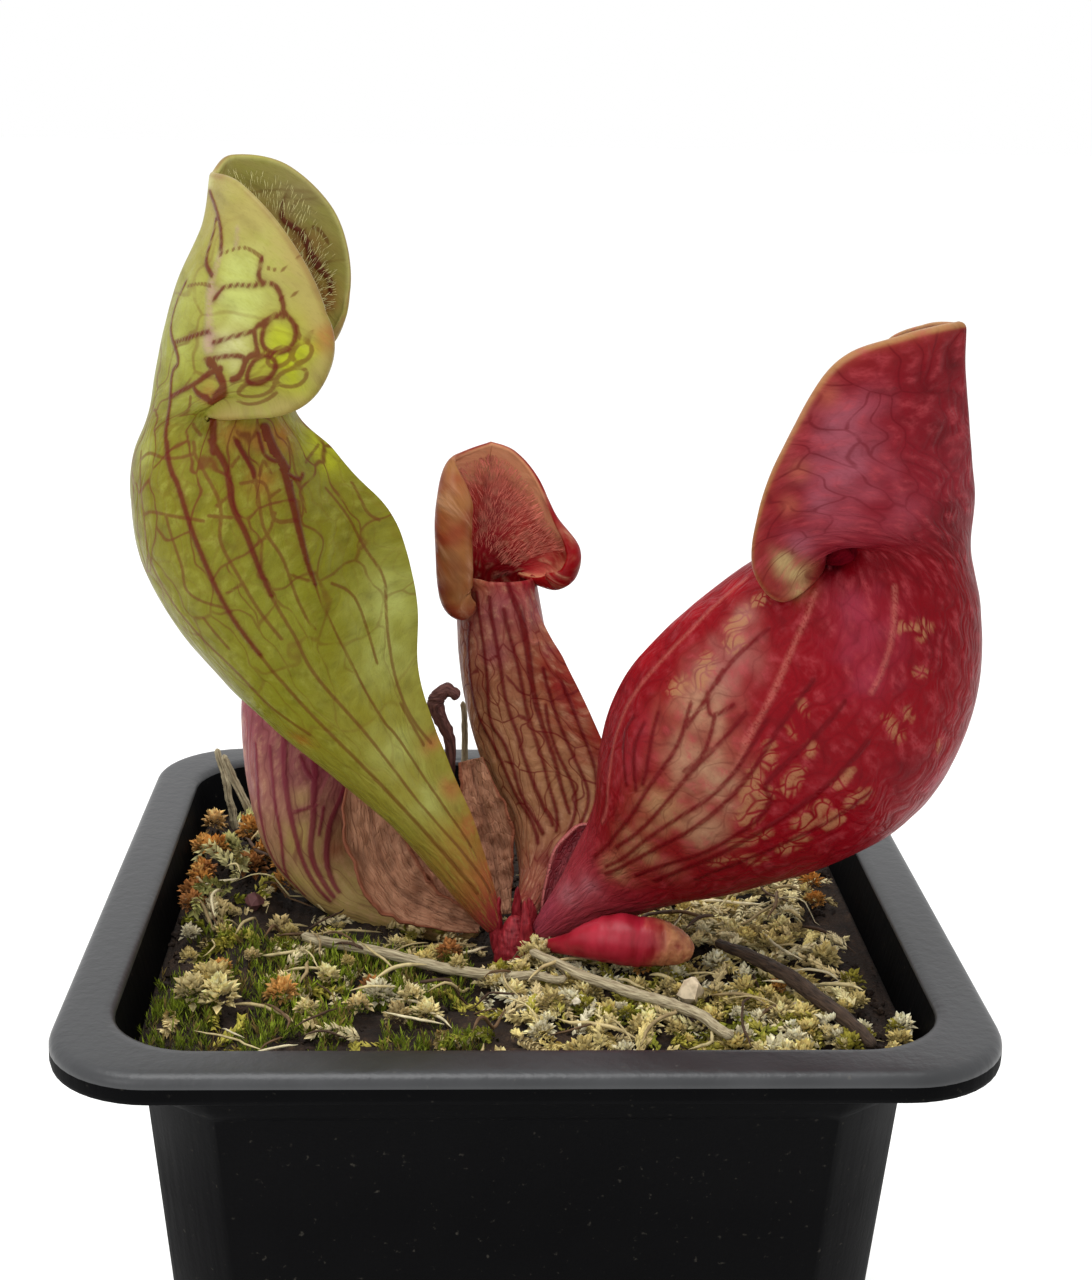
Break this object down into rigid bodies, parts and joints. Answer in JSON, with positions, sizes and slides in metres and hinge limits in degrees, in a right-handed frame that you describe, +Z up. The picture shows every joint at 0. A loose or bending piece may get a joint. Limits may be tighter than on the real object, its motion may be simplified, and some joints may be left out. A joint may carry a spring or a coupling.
{
  "type": "potted pitcher plant",
  "caption": "Small carnivorous pitcher plant, a rosette of hooded hollow leaves in green and deep red, growing in peat, moss and sphagnum in a square black nursery pot.",
  "frame": {"origin": "middle of the pot's flat underside, on the floor", "axes": "+Z up out of the pot; -Y towards the side that the picture shows; +X towards the dark red pitcher"},
  "size_m": [0.09, 0.09, 0.1575],
  "materials": {
    "pot": "moulded, satin, faintly drawn down the walls",
    "peat": "dark, damp, crumbly",
    "moss": "short, soft, matt green",
    "sphagnum": "dry, matt, cream strands",
    "rusty_sphagnum": "dry, matt, orange-brown strands",
    "crown": "waxy, red",
    "green_pitcher": "waxy, yellow-green with dark red veins",
    "red_pitcher": "waxy, deep crimson with tan net veins",
    "middle_pitcher": "waxy, mauve above and tan-green below with red veins",
    "old_pitcher": "dull, mauve with green-yellow streaks",
    "dried_leaf": "dry, papery, brown",
    "maroon_leaf": "waxy, dark maroon",
    "red_leaf": "waxy, red, tan at one end",
    "twig": "dry, pale grey",
    "dark_twig": "dry, dark grey-brown"
  },
  "bodies": {
    "root": {"pot": "pot", "growing_medium": "peat", "moss_green": "moss", "sphagnum_pale": "sphagnum", "sphagnum_rust": "rusty_sphagnum", "crown": "crown", "pitcher_green": "green_pitcher", "pitcher_red": "red_pitcher", "pitcher_middle": "middle_pitcher", "pitcher_old": "old_pitcher", "dried_leaf_left": "dried_leaf", "dried_leaf_inner": "dried_leaf", "dried_leaf_back": "dried_leaf", "maroon_leaf": "maroon_leaf", "small_red_leaf": "red_leaf", "withered_tip": "dried_leaf", "pale_stalk": "twig", "straw_left": "twig", "straw_right": "twig", "twig_left": "twig", "twig_front": "twig", "twig_dark": "dark_twig"}
  },
  "joints": []
}
